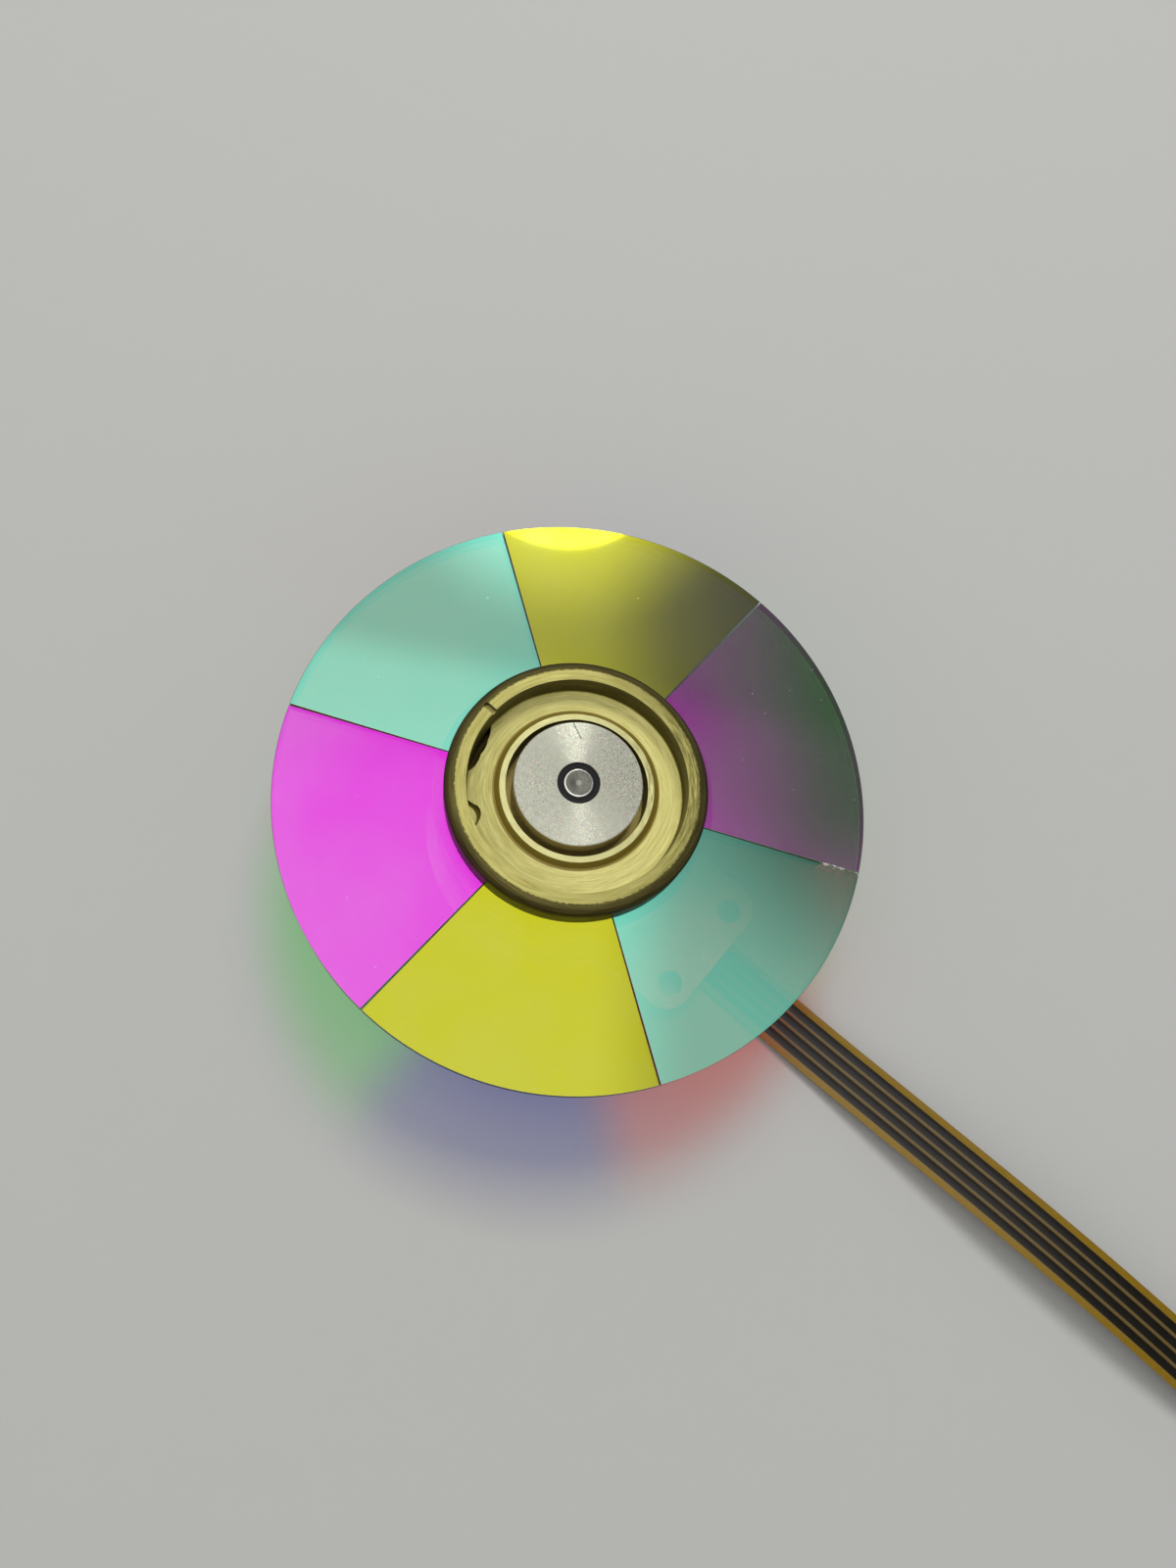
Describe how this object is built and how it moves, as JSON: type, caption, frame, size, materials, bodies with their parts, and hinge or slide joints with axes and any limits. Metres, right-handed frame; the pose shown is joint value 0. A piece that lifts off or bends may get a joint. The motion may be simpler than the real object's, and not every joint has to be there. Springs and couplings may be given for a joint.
{
  "type": "projector colour wheel",
  "caption": "Spinning disc of coloured dichroic glass sectors on a small brushless motor with a turned brass balance ring, a mounting plate and a flat cable.",
  "frame": {"origin": "on the spin axis, in the plane of the mounting plate's underside", "axes": "+Z along the spin axis, from the mounting plate to the glass; +X along the flat cable, away from the motor"},
  "size_m": [0.124, 0.05, 0.015],
  "materials": {
    "red_filter": "polished dichroic coating: mirrors cyan, lets red through",
    "green_filter": "polished dichroic coating: mirrors magenta, lets green through",
    "blue_filter": "polished dichroic coating: mirrors yellow, lets blue through",
    "clear_bond": "cured clear adhesive",
    "ring_brass": "turned, lightly tarnished outside",
    "hub_aluminium": "faced, fine circular turning marks",
    "shaft_steel": "ground and polished",
    "seal_black": "matt black, grooved",
    "cup_steel": "deep drawn, nickel plated",
    "magnet": "bonded magnet, matt dark grey",
    "mark_black": "matt black film",
    "plate_aluminium": "stamped, tumbled",
    "holder_brass": "turned",
    "sleeve_bronze": "sintered, oil filled",
    "thrust_steel": "hardened, polished",
    "thrust_plastic": "natural engineering plastic",
    "core_steel": "stamped laminations",
    "insulator_plastic": "moulded, green",
    "copper": "enamelled copper wire",
    "polyimide": "amber film over dark conductors",
    "stiffener_film": "white stiffener film",
    "tin": "bright tin"
  },
  "bodies": {
    "motor_base": {"base_plate": "plate_aluminium", "bearing_holder": "holder_brass", "bearing_sleeve": "sleeve_bronze", "thrust_plate": "thrust_steel", "thrust_pad": "thrust_plastic", "stator_core": "core_steel", "upper_insulator": "insulator_plastic", "lower_insulator": "insulator_plastic", "coils_phase_u": "copper", "coils_phase_v": "copper", "coils_phase_w": "copper", "flex_head": "polyimide", "solder_joints": "tin", "flex_cable": "polyimide", "cable_stiffener": "stiffener_film", "cable_contacts": "tin"},
    "rotor": {"red_filter_1": "red_filter", "green_filter_1": "green_filter", "blue_filter_1": "blue_filter", "red_filter_2": "red_filter", "green_filter_2": "green_filter", "blue_filter_2": "blue_filter", "filter_bond": "clear_bond", "balance_ring": "ring_brass", "rotor_hub": "hub_aluminium", "shaft": "shaft_steel", "retaining_ring": "thrust_steel", "shaft_seal": "seal_black", "rotor_yoke": "cup_steel", "magnet_ring": "magnet", "timing_mark": "mark_black"}
  },
  "joints": [
    {"name": "wheel_spin", "type": "hinge", "parent": "motor_base", "child": "rotor", "pos_m": [0, 0, 0.013], "axis": [0, 0, 1], "continuous": true}
  ]
}
